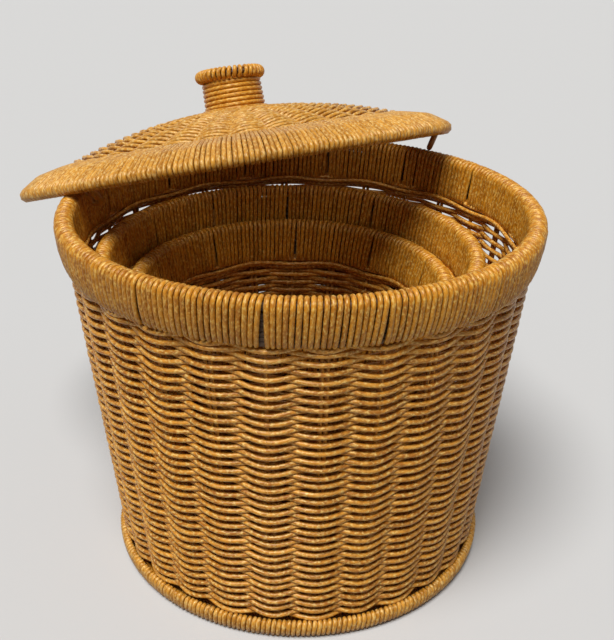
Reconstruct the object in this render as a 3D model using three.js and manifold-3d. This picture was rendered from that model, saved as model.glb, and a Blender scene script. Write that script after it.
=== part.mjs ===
// A round lidded hamper of plastic cane, with two smaller baskets of the same make nested inside it.
// Millimetres, +Z up. The origin is on the hamper's upright axis, in the plane that it stands on.
// A "turn" is an angle about an upright axis, counted from the front (-Y) towards the right (+X).

import * as THREE from 'three';
import { mergeVertices } from 'three/addons/utils/BufferGeometryUtils.js';
import Module from 'manifold-3d';

const wasm = await Module();
wasm.setup();

// The make that all the baskets share
const STRAND = 4; // plastic cane, diameter
const WIRE = 4; // frame wire, diameter
const WEAVE = 2.7; // one woven layer of a wall, thickness
const SEAT = 0.3; // gap between pieces that touch
const BAND_HEIGHT = 40; // wound band below the top of a rim
const FOOT_HEIGHT = 16.5; // wound border round a bottom edge
const FOOT_ROUND = 3; // rounding of that border where it meets the floor
const CORE_GAP = 0.9; // between a rim's core and the strand wound over it
const TUCK = 4; // how far a wall runs on under the band
const BASE_LIFT = 3; // woven bottom above the floor
const BASE_THICK = 7; // woven bottom, thickness

// The hamper
const HAMPER_HEIGHT = 321;
const HAMPER_RIM = 190.5; // radius of the circle through the middle of the rolled rim
const HAMPER_ROLL = 11.2; // radius of the rolled rim's section
const HAMPER_FOOT = 157; // radius of the circle where the uprights meet the floor
const HAMPER_UPRIGHTS = 14;
const HAMPER_FIRST_UPRIGHT = -7.5; // turn of the first upright, degrees
const STAKE_WIDTH = 7; // a flat bundle of thin rods between two uprights

// The nested baskets, set out from the basket that each one stands in
const MIDDLE_RIM_GAP = 14.8; // between the two rims
const MIDDLE_FOOT_GAP = 11; // between the two feet
const MIDDLE_RIM_DROP = 38.8; // its rim below the hamper's rim
const MIDDLE_ROLL = 10;
const MIDDLE_UPRIGHTS = 12;
const MIDDLE_SHIFT = -9; // sideways, off the hamper's axis
const SMALL_RIM_GAP = 4;
const SMALL_FOOT_GAP = 9;
const SMALL_RIM_DROP = 27.5;
const SMALL_ROLL = 10;
const SMALL_UPRIGHTS = 10;
const SMALL_SHIFT = 0.5; // sideways, off the middle basket's axis

// The lid, in its own frame: z = 0 is the plane of its outer hoop
const LID_OVERHANG = 7.2; // lid edge beyond the rim's outer edge
const LID_MID_HOOP_IN = 15; // mid hoop inside the outer hoop
const LID_MID_HOOP_RISE = 10.4;
const LID_INNER_HOOP_IN = 38; // inner hoop inside the outer hoop
const LID_CROWN = 52.7; // top of the dome above the outer hoop
const LID_CURVE = 438; // radius of the dome's curve
const LID_SPOKES = 16;
const LID_EYE = 31; // radius of the hole in the weave under the knob
const LID_SIDE = -0.328; // where the lid lies, ajar, in radii of the rim
const LID_BACK = 0.8184;
const LID_LEAN = -16.5; // degrees about X, back edge down
const LID_ROLL = -10.2; // degrees about Y, right edge up
const COLLAR_WIDTH = 5;
const COLLAR_HEIGHT = 4;

// The loops under the lid that locate it
const LOOP_ROD = 5; // diameter
const LOOP_WIDTH = 12;
const LOOP_TOP_IN = 8; // legs inside the lid's outer hoop
const LOOP_FOOT_IN = 17; // foot inside the lid's outer hoop
const LOOP_DEPTH = 16.4; // middle of the foot below the outer hoop
const LOOP_TURNS = { right: 89, back: 207, left: -34 }; // degrees, on the lid

// The knob
const KNOB_SHIFT = 6.5; // sideways, off the lid's middle
const HUB = 23.5; // radius of the wire ring that the spokes end on
const NECK_BASE = 29; // outer radius of the wound neck, at its foot
const NECK_TOP = 28;
const NECK_LENGTH = 24.3;
const NECK_TURNS = 6;
const NECK_STRAND = 3; // strand drawn tight round the neck, diameter
const RING_RADIUS = 26.6; // middle of the knob's top ring
const RING_CORE = 2.4; // radius of the hoop inside that ring
const RING_STRAND = 3.4; // strand wound round that hoop, diameter
const RING_LOOPS = 24;

// How finely round things are cut
const HAMPER_FACETS = 3; // for each upright
const NESTED_FACETS = 2;
const LID_FACETS = 2; // for each spoke
const WIRE_SIDES = 4;
const ROD_SIDES = 6;
const KNOB_FACETS = 20;
const NECK_STEPS = 16; // for each turn
const RING_STEPS = 8; // for each loop
const NECK_SIDES = 5;
const RING_SIDES = 5;

const DEGREE = Math.PI / 180;
const FULL_TURN = 2 * Math.PI;

// Distances from the line of the uprights, and from the middle of a hoop, to what covers them
const WALL_HALF = WIRE / 2 + SEAT + WEAVE;
const WRAP_INNER = WALL_HALF + SEAT;
const WRAP_OUTER = WRAP_INNER + STRAND;
const HOOP_WRAP_INNER = WIRE / 2 + SEAT;
const HOOP_WRAP_OUTER = HOOP_WRAP_INNER + STRAND;

const strandMaterial = new THREE.MeshStandardMaterial({ color: 0xb9792f, roughness: 0.45, metalness: 0 });
const shadedStrandMaterial = new THREE.MeshStandardMaterial({ color: 0x9a6426, roughness: 0.5, metalness: 0 });
const wireMaterial = new THREE.MeshStandardMaterial({ color: 0x7a4d1f, roughness: 0.5, metalness: 0.3 });
const coreMaterial = new THREE.MeshStandardMaterial({ color: 0xa98a5c, roughness: 0.7, metalness: 0 });

// Point at a turn about the Z axis
function polar(radius, turn, z) {
  return new THREE.Vector3(radius * Math.sin(turn), -radius * Math.cos(turn), z);
}

function signedVolume(position, index) {
  const [a, b, c] = [new THREE.Vector3(), new THREE.Vector3(), new THREE.Vector3()];
  let sum = 0;
  for (let i = 0; i < index.length; i += 3) {
    a.fromBufferAttribute(position, index[i]);
    b.fromBufferAttribute(position, index[i + 1]);
    c.fromBufferAttribute(position, index[i + 2]);
    sum += a.dot(b.cross(c));
  }
  return sum / 6;
}

// Shared vertices merged, faces that collapsed on the axis dropped, faces turned outwards
function closed(geometry) {
  geometry.deleteAttribute('normal');
  geometry.deleteAttribute('uv');
  const merged = mergeVertices(geometry, 1e-4);
  const index = [];
  for (let i = 0; i < merged.index.count; i += 3) {
    const [a, b, c] = [0, 1, 2].map((k) => merged.index.getX(i + k));
    if (a !== b && b !== c && c !== a) index.push(a, b, c);
  }
  if (signedVolume(merged.attributes.position, index) < 0) index.reverse();
  merged.setIndex(index);
  return merged;
}

function toManifold(geometry) {
  const vertProperties = new Float32Array(geometry.attributes.position.array);
  const triVerts = new Uint32Array(geometry.index.array);
  return new wasm.Manifold(new wasm.Mesh({ numProp: 3, vertProperties, triVerts }));
}

// One solid from pieces that are welded together
function welded(geometries) {
  const whole = geometries.map(toManifold).reduce((sum, next) => sum.add(next));
  const mesh = whole.getMesh();
  const geometry = new THREE.BufferGeometry();
  geometry.setAttribute('position', new THREE.BufferAttribute(new Float32Array(mesh.vertProperties), 3));
  geometry.setIndex(new THREE.BufferAttribute(new Uint32Array(mesh.triVerts), 1));
  return geometry;
}

// Solid of revolution about Z from an outline of [radius, z] that runs anticlockwise
function turned(outline, facets, firstTurn = 0) {
  const points = outline.map(([radius, z]) => new THREE.Vector2(radius, z));
  const touchesAxis = outline[0][0] === 0;
  if (!touchesAxis) points.push(points[0].clone());
  const lathe = new THREE.LatheGeometry(points, facets, firstTurn, FULL_TURN);
  return closed(lathe.rotateX(Math.PI / 2));
}

// Points on an arc about [radius, z], angles in degrees from outwards towards up
function arc([radius, z], reach, from, to, steps) {
  return Array.from({ length: steps + 1 }, (_, i) => {
    const angle = (from + ((to - from) * i) / steps) * DEGREE;
    return [radius + reach * Math.cos(angle), z + reach * Math.sin(angle)];
  });
}

// Ring of round rod about Z
function hoop(radius, z, rod, sides, facets, firstTurn = 0) {
  const section = arc([radius, z], rod, 0, 360, sides).slice(0, -1);
  return turned(section, facets, firstTurn);
}

// Rod of the given outline along a curve, with flat ends
function swept(outline, curve, steps) {
  const shape = new THREE.Shape(outline.map(([x, y]) => new THREE.Vector2(x, y)));
  return closed(new THREE.ExtrudeGeometry(shape, { steps, extrudePath: curve, bevelEnabled: false }));
}

// Line that runs straight from point to point, one step for each stretch
class BentLine extends THREE.Curve {
  constructor(points) {
    super();
    this.points = points;
  }

  getPoint(t, target = new THREE.Vector3()) {
    const stretches = this.points.length - 1;
    const i = Math.min(Math.floor(t * stretches + 1e-9), stretches - 1);
    return target.lerpVectors(this.points[i], this.points[i + 1], t * stretches - i);
  }

  getUtoTmapping(u) {
    return u;
  }
}

function roundOutline(radius, sides) {
  return arc([0, 0], radius, 0, 360, sides).slice(0, -1);
}

function piece(group, name, geometry, material) {
  geometry.computeVertexNormals();
  const mesh = new THREE.Mesh(geometry, material.clone());
  mesh.name = name;
  group.add(mesh);
}

// The sizes of a basket that follow from its driving sizes, with its own floor at z = 0
function basketSizes({ height, rim, roll, foot, uprights, firstUpright, facetsEach, isLargest }) {
  const rollZ = height - roll;
  const line = (z) => foot + ((rim - foot) * z) / rollZ; // radius of the uprights
  return {
    height, rim, roll, rollZ, line, uprights, isLargest,
    facets: uprights * facetsEach,
    firstTurn: firstUpright * DEGREE,
    bandZ: height - BAND_HEIGHT,
    core: roll - STRAND - CORE_GAP,
    mouth: rim - roll,
    footInside: foot - WRAP_OUTER,
    baseTop: BASE_LIFT + BASE_THICK,
  };
}

// A basket that stands inside another, its rim and foot set in from the outer one's
function nestedSizes(outer, { rimGap, footGap, rimDrop, roll, uprights }) {
  const height = outer.height - outer.baseTop - SEAT - rimDrop;
  const rim = outer.mouth - rimGap - roll;
  const widestFoot = outer.footInside - footGap - WRAP_OUTER;
  const share = FOOT_HEIGHT / (height - roll);
  const foot = (widestFoot - rim * share) / (1 - share);
  const make = { firstUpright: 0, facetsEach: NESTED_FACETS, isLargest: false };
  return basketSizes({ height, rim, roll, foot, uprights, ...make });
}

// Base hoop, uprights that end just under the rim's core and, on the largest basket, a hoop in the band
function wireFrame(b) {
  const baseZ = STRAND + SEAT + WIRE / 2;
  const hoopZ = b.isLargest ? [baseZ, b.bandZ + WIRE / 2] : [baseZ];
  const hoops = hoopZ.map((z) => hoop(b.line(z), z, WIRE / 2, WIRE_SIDES, b.facets, b.firstTurn));
  const topZ = b.rollZ - b.core - SEAT;
  const uprights = Array.from({ length: b.uprights }, (_, i) => {
    const turn = b.firstTurn + (i * FULL_TURN) / b.uprights;
    const from = polar(b.line(baseZ), turn, baseZ);
    const to = polar(b.line(topZ), turn, topZ);
    return swept(roundOutline(WIRE / 2, WIRE_SIDES), new THREE.LineCurve3(from, to), 1);
  });
  return welded([...hoops, ...uprights]);
}

// The wound band: two skins joined over the roll, open below where the uprights come in
function rimWrap(b) {
  const low = b.line(b.bandZ);
  const rollCentre = [b.rim, b.rollZ];
  const over = arc(rollCentre, b.roll, -10, 190, 6);
  const under = arc(rollCentre, b.roll - STRAND, 190, -10, 5);
  return turned(
    [
      [low + WRAP_INNER, b.bandZ],
      [low + WRAP_OUTER, b.bandZ],
      ...over,
      [low - WRAP_OUTER, b.bandZ],
      [low - WRAP_INNER, b.bandZ],
      ...under,
    ],
    b.facets,
    b.firstTurn,
  );
}

// Brings a layer in between the uprights and the stakes, where its strands cross those of the other layer
function fluted(b, geometry, depth) {
  const { position } = geometry.attributes;
  const step = FULL_TURN / (4 * b.uprights);
  for (let i = 0; i < position.count; i += 1) {
    const [x, y] = [position.getX(i), position.getY(i)];
    const radius = Math.hypot(x, y);
    const column = Math.abs(Math.round((Math.atan2(x, -y) - b.firstTurn) / step));
    let moved = radius;
    if (column % 2 === 1) moved -= depth;
    if (column % 4 === 2) moved *= Math.cos(Math.PI / b.facets); // a stake stands in the middle of a facet
    position.setXY(i, (x * moved) / radius, (y * moved) / radius);
  }
  return geometry;
}

// One layer of the woven wall, from inside the foot border to the band. On the largest basket it lies
// between the two hoops and shows the columns of the weave; on the others it runs on under the band.
function wallLayer(b, nearFace, farFace) {
  const lowZ = b.isLargest ? STRAND + WIRE + 2 * SEAT : STRAND + SEAT + FOOT_ROUND;
  const highZ = b.isLargest ? b.bandZ - SEAT : b.bandZ + TUCK;
  const outline = [
    [b.line(lowZ) + nearFace, lowZ],
    [b.line(lowZ) + farFace, lowZ],
    [b.line(highZ) + farFace, highZ],
    [b.line(highZ) + nearFace, highZ],
  ];
  if (!b.isLargest) return turned(outline, b.facets, b.firstTurn);
  const depth = (Math.sign(farFace) * (WIRE + SEAT)) / 2;
  return fluted(b, turned(outline, 4 * b.uprights, b.firstTurn), depth);
}

// The wound border: a trough round the bottom of the wall, with a flat underside
function footWrap(b) {
  const outerTop = b.line(FOOT_HEIGHT);
  const outerLow = b.line(STRAND + FOOT_ROUND);
  const inner = b.footInside;
  const innerTopZ = FOOT_HEIGHT - STRAND;
  return turned(
    [
      [inner, 0],
      [outerLow + WRAP_OUTER - FOOT_ROUND, 0],
      [outerLow + WRAP_OUTER, FOOT_ROUND],
      [outerTop + WRAP_OUTER, FOOT_HEIGHT],
      [outerTop + WRAP_INNER, FOOT_HEIGHT],
      [outerLow + WRAP_INNER, STRAND],
      [inner + STRAND, STRAND],
      [inner + STRAND, innerTopZ],
      [inner, innerTopZ],
    ],
    b.facets,
    b.firstTurn,
  );
}

function baseWeave(b) {
  const edge = b.footInside - SEAT;
  return turned(
    [
      [0, BASE_LIFT],
      [edge, BASE_LIFT],
      [edge, b.baseTop],
      [0, b.baseTop],
    ],
    b.facets,
    b.firstTurn,
  );
}

// A flat bundle of thin rods, halfway between two uprights, in the middle of a facet
function stake(b, i) {
  const turn = b.firstTurn + ((i + 0.5) * FULL_TURN) / b.uprights;
  const toFacet = Math.cos(Math.PI / b.facets);
  const lowZ = STRAND + WIRE + 2 * SEAT;
  const highZ = b.bandZ - SEAT;
  const [from, to] = [lowZ, highZ].map((z) => polar(b.line(z) * toFacet, turn, z));
  const radial = WIRE / 2 - SEAT;
  const side = STAKE_WIDTH / 2;
  const ends = side - radial * 0.6;
  const outline = [[radial, -ends], [radial, ends], [0, side], [-radial, ends], [-radial, -ends], [0, -side]];
  const shape = new THREE.Shape(outline.map(([x, y]) => new THREE.Vector2(x, y)));
  const bar = closed(new THREE.ExtrudeGeometry(shape, { depth: 1, bevelEnabled: false }));
  const out = polar(1, turn, 0);
  const across = new THREE.Vector3(0, 0, 1).cross(out);
  const along = to.clone().sub(from);
  return bar.applyMatrix4(new THREE.Matrix4().makeBasis(out, across, along).setPosition(from));
}

function basket(name, b, x, floor) {
  const group = new THREE.Group();
  group.position.set(x, 0, floor);
  const core = hoop(b.rim, b.rollZ, b.core, ROD_SIDES, b.facets, b.firstTurn);
  piece(group, `${name}_frame`, wireFrame(b), wireMaterial);
  piece(group, `${name}_rim_core`, core, coreMaterial);
  piece(group, `${name}_rim_wrap`, rimWrap(b), strandMaterial);
  piece(group, `${name}_weave_outer`, wallLayer(b, WIRE / 2 + SEAT, WALL_HALF), strandMaterial);
  piece(group, `${name}_weave_inner`, wallLayer(b, -WALL_HALF, -WIRE / 2 - SEAT), shadedStrandMaterial);
  piece(group, `${name}_foot_wrap`, footWrap(b), strandMaterial);
  piece(group, `${name}_base_weave`, baseWeave(b), shadedStrandMaterial);
  return group;
}

// Tube along sampled points; "outs" point away from what the tube is wound on
function woundTube(points, outs, radius, sides) {
  const positions = [];
  const index = [];
  const last = points.length - 1;
  points.forEach((point, i) => {
    const ahead = points[Math.min(i + 1, last)].clone().sub(points[Math.max(i - 1, 0)]).normalize();
    const out = outs[i].clone().addScaledVector(ahead, -outs[i].dot(ahead)).normalize();
    const across = ahead.clone().cross(out);
    for (let k = 0; k < sides; k += 1) {
      const angle = (k * FULL_TURN) / sides;
      const vertex = point.clone();
      vertex.addScaledVector(out, radius * Math.cos(angle));
      vertex.addScaledVector(across, radius * Math.sin(angle));
      positions.push(...vertex.toArray());
    }
  });
  for (let i = 0; i < last; i += 1) {
    for (let k = 0; k < sides; k += 1) {
      const [a, b] = [i * sides + k, i * sides + ((k + 1) % sides)];
      index.push(a, b, a + sides, b, b + sides, a + sides);
    }
  }
  for (let k = 1; k < sides - 1; k += 1) {
    index.push(0, k + 1, k);
    index.push(last * sides, last * sides + k, last * sides + k + 1);
  }
  const geometry = new THREE.BufferGeometry();
  geometry.setAttribute('position', new THREE.Float32BufferAttribute(positions, 3));
  geometry.setIndex(index);
  return closed(geometry);
}

// Least distance between a winding's own turns, from points at least half a turn apart
function leastGap(points, stepsPerTurn, diameter) {
  let least = Infinity;
  for (let i = 0; i < points.length; i += 1) {
    for (let j = i + Math.ceil(stepsPerTurn / 2); j < points.length; j += 1) {
      least = Math.min(least, points[i].distanceTo(points[j]));
    }
  }
  return least - diameter;
}

// A winding with a straight end of one diameter at either end
function winding(name, pointAt, outAt, { turns, steps, sides, strand }) {
  const count = Math.round(turns * steps);
  const points = Array.from({ length: count + 1 }, (_, i) => pointAt(i / count));
  const outs = points.map((_, i) => outAt(i / count));
  const before = pointAt(0).sub(pointAt(1e-4)).setLength(strand).add(points[0]);
  const after = pointAt(1).sub(pointAt(1 - 1e-4)).setLength(strand).add(points[count]);
  const path = [before, ...points, after];
  console.log(`${name}: least gap to itself ${leastGap(path, steps, strand).toFixed(2)} mm`);
  return woundTube(path, [outs[0], ...outs, outs[count]], strand / 2, sides);
}

// Baskets
const hamper = basketSizes({
  height: HAMPER_HEIGHT,
  rim: HAMPER_RIM,
  roll: HAMPER_ROLL,
  foot: HAMPER_FOOT,
  uprights: HAMPER_UPRIGHTS,
  firstUpright: HAMPER_FIRST_UPRIGHT,
  facetsEach: HAMPER_FACETS,
  isLargest: true,
});
const middle = nestedSizes(hamper, {
  rimGap: MIDDLE_RIM_GAP,
  footGap: MIDDLE_FOOT_GAP,
  rimDrop: MIDDLE_RIM_DROP,
  roll: MIDDLE_ROLL,
  uprights: MIDDLE_UPRIGHTS,
});
const small = nestedSizes(middle, {
  rimGap: SMALL_RIM_GAP,
  footGap: SMALL_FOOT_GAP,
  rimDrop: SMALL_RIM_DROP,
  roll: SMALL_ROLL,
  uprights: SMALL_UPRIGHTS,
});
const middleFloor = hamper.baseTop + SEAT;
const smallFloor = middleFloor + middle.baseTop + SEAT;

const hamperGroup = basket('hamper', hamper, 0, 0);
for (let i = 0; i < HAMPER_UPRIGHTS; i += 1) {
  piece(hamperGroup, `hamper_stake_${String(i + 1).padStart(2, '0')}`, stake(hamper, i), wireMaterial);
}
const middleGroup = basket('middle_basket', middle, MIDDLE_SHIFT, middleFloor);
const smallGroup = basket('small_basket', small, MIDDLE_SHIFT + SMALL_SHIFT, smallFloor);

// Lid
const lidFacets = LID_SPOKES * LID_FACETS;
const lidHoop = HAMPER_RIM + HAMPER_ROLL + LID_OVERHANG - HOOP_WRAP_OUTER;
const domeTop = (r) => LID_CROWN - LID_CURVE + Math.sqrt(LID_CURVE ** 2 - r ** 2);
const spokeZ = (r) => domeTop(r) - WALL_HALF;
const lidInnerHoop = lidHoop - LID_INNER_HOOP_IN;
const lidHoops = [
  [lidHoop, 0],
  [lidHoop - LID_MID_HOOP_IN, LID_MID_HOOP_RISE],
  [lidInnerHoop, spokeZ(lidInnerHoop)],
];

// Directions square to the band's faces, in degrees from outwards towards up
const squareTo = (a, b) => Math.atan2(b[1] - a[1], b[0] - a[0]) / DEGREE - 90;
const bandBelow = squareTo(lidHoops[2], lidHoops[0]);
const bandEdge = squareTo(lidHoops[0], lidHoops[1]);
const bandTop = squareTo(lidHoops[1], lidHoops[2]);
const lidUnderEdge = lidInnerHoop + HOOP_WRAP_OUTER * Math.cos(bandBelow * DEGREE) - SEAT;
const lidTopEdge = lidInnerHoop - SEAT;

// Radii at which the dome's spokes and layers bend
const domeStops = [0, 1 / 3, 2 / 3].map((share) => LID_EYE + (lidInnerHoop - LID_EYE) * share);

// The knob sits off the lid's middle, and the weave evens that out towards the inner hoop
function offMiddle(geometry) {
  const { position } = geometry.attributes;
  for (let i = 0; i < position.count; i += 1) {
    const radius = Math.hypot(position.getX(i), position.getY(i));
    const share = (lidInnerHoop - radius) / (lidInnerHoop - LID_EYE);
    position.setX(i, position.getX(i) + KNOB_SHIFT * THREE.MathUtils.clamp(share, 0, 1));
  }
  return geometry;
}

function lidWireHoop([radius, z]) {
  return hoop(radius, z, WIRE / 2, WIRE_SIDES, lidFacets);
}

// The inner hoop, the spokes that run in from it, and the hub ring that they end on
function lidFrame() {
  const hub = hoop(HUB, spokeZ(HUB), WIRE / 2, WIRE_SIDES, LID_SPOKES);
  const stops = [HUB, ...domeStops, lidInnerHoop];
  const spokes = Array.from({ length: LID_SPOKES }, (_, i) => {
    const turn = (i * FULL_TURN) / LID_SPOKES;
    const line = new BentLine(stops.map((r) => polar(r, turn, spokeZ(r))));
    return swept(roundOutline(WIRE / 2, WIRE_SIDES), line, stops.length - 1);
  });
  return welded([lidWireHoop(lidHoops[2]), hub, ...spokes]);
}

// Strand wound over the three hoops: two skins, open inwards where the spokes leave them
function lidBandWrap() {
  const [outer, mid, inner] = lidHoops;
  const skin = (reach) => [
    ...arc(inner, reach, bandBelow, bandBelow, 1).slice(1),
    ...arc(outer, reach, bandBelow, bandEdge, 5),
    ...arc(mid, reach, bandEdge, bandTop, 1),
    ...arc(inner, reach, bandTop, bandTop, 1).slice(1),
  ];
  return turned([...skin(HOOP_WRAP_OUTER), ...skin(HOOP_WRAP_INNER).reverse()], lidFacets);
}

// One layer of the woven dome, between the collar and the band
function domeLayer(edge, faceBelow, faceAbove) {
  const stops = [...domeStops, edge];
  const lower = stops.map((r) => [r, spokeZ(r) + faceBelow]);
  const upper = stops.map((r) => [r, spokeZ(r) + faceAbove]).reverse();
  return turned([...lower, ...upper], lidFacets);
}

// Knob heights, from the hub ring up
const knobShoulder = spokeZ(HUB) + WIRE / 2 + SEAT;
const neckFoot = domeTop(LID_EYE);
const neckHead = neckFoot + NECK_LENGTH;
const ringReach = (RING_CORE + SEAT + RING_STRAND / 2) / Math.cos(Math.PI / RING_STEPS);
const ringZ = neckHead + SEAT + ringReach + RING_STRAND / 2;

function knobCore() {
  const spigot = (HUB - WIRE / 2) * Math.cos(Math.PI / LID_SPOKES) - SEAT;
  return turned(
    [
      [0, knobShoulder - 2 * WIRE],
      [spigot, knobShoulder - 2 * WIRE],
      [spigot, knobShoulder],
      [NECK_BASE - NECK_STRAND - SEAT, knobShoulder],
      [NECK_TOP - NECK_STRAND - SEAT, neckHead],
      [0, neckHead],
    ],
    KNOB_FACETS,
  );
}

function neckWinding() {
  const from = neckFoot + NECK_STRAND / 2 + SEAT;
  const rise = neckHead - NECK_STRAND / 2 - from;
  const stretch = 1 / Math.cos(Math.PI / NECK_STEPS);
  const pointAt = (t) => {
    const radius = NECK_BASE + (NECK_TOP - NECK_BASE) * t - NECK_STRAND / 2;
    return polar(radius * stretch, t * NECK_TURNS * FULL_TURN, from + rise * t);
  };
  const outAt = (t) => polar(1, t * NECK_TURNS * FULL_TURN, 0);
  const form = { turns: NECK_TURNS, steps: NECK_STEPS, sides: NECK_SIDES, strand: NECK_STRAND };
  return winding('knob_neck_winding', pointAt, outAt, form);
}

// Starts and ends inside the ring, just over the top of the core
function ringWinding() {
  const turns = RING_LOOPS - 0.25;
  const sweep = FULL_TURN * (1 - 1.2 / RING_LOOPS);
  const around = (t) => (1.5 + 2 * turns * t) * Math.PI;
  const pointAt = (t) => {
    const radius = RING_RADIUS + ringReach * Math.cos(around(t));
    return polar(radius, t * sweep, ringZ + ringReach * Math.sin(around(t)));
  };
  const outAt = (t) => polar(Math.cos(around(t)), t * sweep, Math.sin(around(t)));
  const form = { turns, steps: RING_STEPS, sides: RING_SIDES, strand: RING_STRAND };
  return winding('knob_ring_winding', pointAt, outAt, form);
}

function lidCollar() {
  const inside = LID_EYE;
  const outside = inside + COLLAR_WIDTH;
  return turned(
    [
      [inside, domeTop(inside) + SEAT],
      [outside, domeTop(outside) + SEAT],
      [outside, domeTop(outside) + SEAT + COLLAR_HEIGHT / 2],
      [inside, domeTop(inside) + SEAT + COLLAR_HEIGHT],
    ],
    lidFacets,
  );
}

// Middle line of a loop: two legs that lean inwards from the band's underside to a straight foot
function loopLine(turn) {
  const slope = Math.tan((bandBelow + 90) * DEGREE);
  const belowBand = (HOOP_WRAP_OUTER + SEAT + LOOP_ROD / 4) / Math.cos(Math.atan(slope));
  const topZ = -slope * LOOP_TOP_IN - belowBand;
  const half = LOOP_WIDTH / 2;
  const leg = (side) => {
    const high = new THREE.Vector3(side * half, LOOP_TOP_IN - lidHoop, topZ);
    const low = new THREE.Vector3(side * half, LOOP_FOOT_IN - lidHoop, -LOOP_DEPTH);
    const bendEnd = low.clone().setX(side * (half - LOOP_ROD));
    const bendStart = low.clone().add(high.clone().sub(low).setLength(LOOP_ROD));
    const bend = new THREE.QuadraticBezierCurve3(bendStart, low, bendEnd);
    return [high, ...bend.getPoints(3)];
  };
  const line = [...leg(-1), ...leg(1).reverse()];
  return line.map((point) => point.applyAxisAngle(new THREE.Vector3(0, 0, 1), turn));
}

function lidLoop(turn) {
  const line = loopLine(turn);
  return swept(roundOutline(LOOP_ROD / 2, ROD_SIDES), new BentLine(line), line.length - 1);
}

const lidGroup = new THREE.Group();
piece(lidGroup, 'lid_frame', offMiddle(lidFrame()), wireMaterial);
piece(lidGroup, 'lid_edge_hoop', lidWireHoop(lidHoops[0]), wireMaterial);
piece(lidGroup, 'lid_band_hoop', lidWireHoop(lidHoops[1]), wireMaterial);
piece(lidGroup, 'lid_band_wrap', lidBandWrap(), strandMaterial);
const weaveTop = domeLayer(lidTopEdge, WIRE / 2 + SEAT, WALL_HALF);
const weaveUnder = domeLayer(lidUnderEdge, -WALL_HALF, -WIRE / 2 - SEAT);
const ringCore = hoop(RING_RADIUS, ringZ, RING_CORE, ROD_SIDES, KNOB_FACETS);
piece(lidGroup, 'lid_weave_top', offMiddle(weaveTop), strandMaterial);
piece(lidGroup, 'lid_weave_under', offMiddle(weaveUnder), shadedStrandMaterial);
piece(lidGroup, 'lid_collar', offMiddle(lidCollar()), strandMaterial);
piece(lidGroup, 'knob_core', offMiddle(knobCore()), coreMaterial);
piece(lidGroup, 'knob_neck_winding', offMiddle(neckWinding()), strandMaterial);
piece(lidGroup, 'knob_ring_core', offMiddle(ringCore), coreMaterial);
piece(lidGroup, 'knob_ring_winding', offMiddle(ringWinding()), strandMaterial);
for (const [side, turn] of Object.entries(LOOP_TURNS)) {
  piece(lidGroup, `lid_loop_${side}`, lidLoop(turn * DEGREE), wireMaterial);
}

// The lid lies as low as its loops, its edge and its dome let it on the hamper's rim
const lidX = LID_SIDE * HAMPER_RIM;
const lidY = LID_BACK * HAMPER_RIM;
lidGroup.rotation.set(LID_LEAN * DEGREE, LID_ROLL * DEGREE, 0, 'YXZ');

function heightOverRim(points, reach) {
  let height = -Infinity;
  for (const local of points) {
    const point = local.clone().applyEuler(lidGroup.rotation);
    const offRim = Math.hypot(point.x + lidX, point.y + lidY) - HAMPER_RIM;
    const apart = HAMPER_ROLL + reach + SEAT;
    if (Math.abs(offRim) < apart) {
      height = Math.max(height, hamper.rollZ + Math.sqrt(apart ** 2 - offRim ** 2) - point.z);
    }
  }
  return height;
}

function ringPoints(radius, z) {
  return Array.from({ length: 720 }, (_, i) => polar(radius, (i * FULL_TURN) / 720, z));
}

const loopHeights = Object.values(LOOP_TURNS).map((turn) => {
  const line = new BentLine(loopLine(turn * DEGREE));
  const points = Array.from({ length: 361 }, (_, i) => line.getPoint(i / 360));
  return heightOverRim(points, LOOP_ROD / 2);
});
const hoopHeights = lidHoops.map(([r, z]) => heightOverRim(ringPoints(r, z), HOOP_WRAP_OUTER));
const domeHeights = [0.8, 0.6, 0.4].map((share) => {
  const radius = lidInnerHoop * share;
  return heightOverRim(ringPoints(radius, spokeZ(radius) - WALL_HALF), 0);
});
const lidZ = Math.max(...loopHeights, ...hoopHeights, ...domeHeights);
lidGroup.position.set(lidX, lidY, lidZ);
console.log(`lid: the middle of its outer hoop rests at a height of ${lidZ.toFixed(2)} mm`);

const nestedHamper = new THREE.Group();
nestedHamper.name = 'nested_hamper';
nestedHamper.add(hamperGroup, middleGroup, smallGroup, lidGroup);

export default nestedHamper;
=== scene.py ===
# %% [markdown]
# # A nested cane hamper with its lid ajar
# The real thing is three baskets of the same make, woven from round plastic cane over a wire frame,
# one inside the other, with a domed lid lying across the largest. Every strand here is a real tube,
# because cane is seen close up as rods that catch light along their length, and a flat wall with a
# picture of weaving on it would lose its gaps and its bumpy outline.

# %% Load the solids
import math

import bpy
import numpy as np
from mathutils import Matrix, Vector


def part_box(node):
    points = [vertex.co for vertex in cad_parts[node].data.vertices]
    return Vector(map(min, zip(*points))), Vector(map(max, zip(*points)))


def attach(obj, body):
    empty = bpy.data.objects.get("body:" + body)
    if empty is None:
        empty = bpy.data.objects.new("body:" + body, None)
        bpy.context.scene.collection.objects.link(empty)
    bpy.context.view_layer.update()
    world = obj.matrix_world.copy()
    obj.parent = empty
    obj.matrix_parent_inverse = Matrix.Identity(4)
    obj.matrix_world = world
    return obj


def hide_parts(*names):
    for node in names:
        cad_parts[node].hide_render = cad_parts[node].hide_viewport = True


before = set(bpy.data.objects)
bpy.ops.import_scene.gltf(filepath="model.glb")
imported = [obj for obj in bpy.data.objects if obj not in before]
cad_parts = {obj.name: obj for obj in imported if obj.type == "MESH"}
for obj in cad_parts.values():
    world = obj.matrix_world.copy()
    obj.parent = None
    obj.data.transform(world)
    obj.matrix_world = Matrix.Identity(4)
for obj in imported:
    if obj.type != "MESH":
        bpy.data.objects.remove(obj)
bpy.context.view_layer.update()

# %% [markdown]
# ## Sizes
# The solids were drawn from a few driving sizes. The strands have to lie where the solids are, so the
# same sizes are written here, in millimetres, and everything is scaled to metres once, when a mesh is made.

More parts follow.
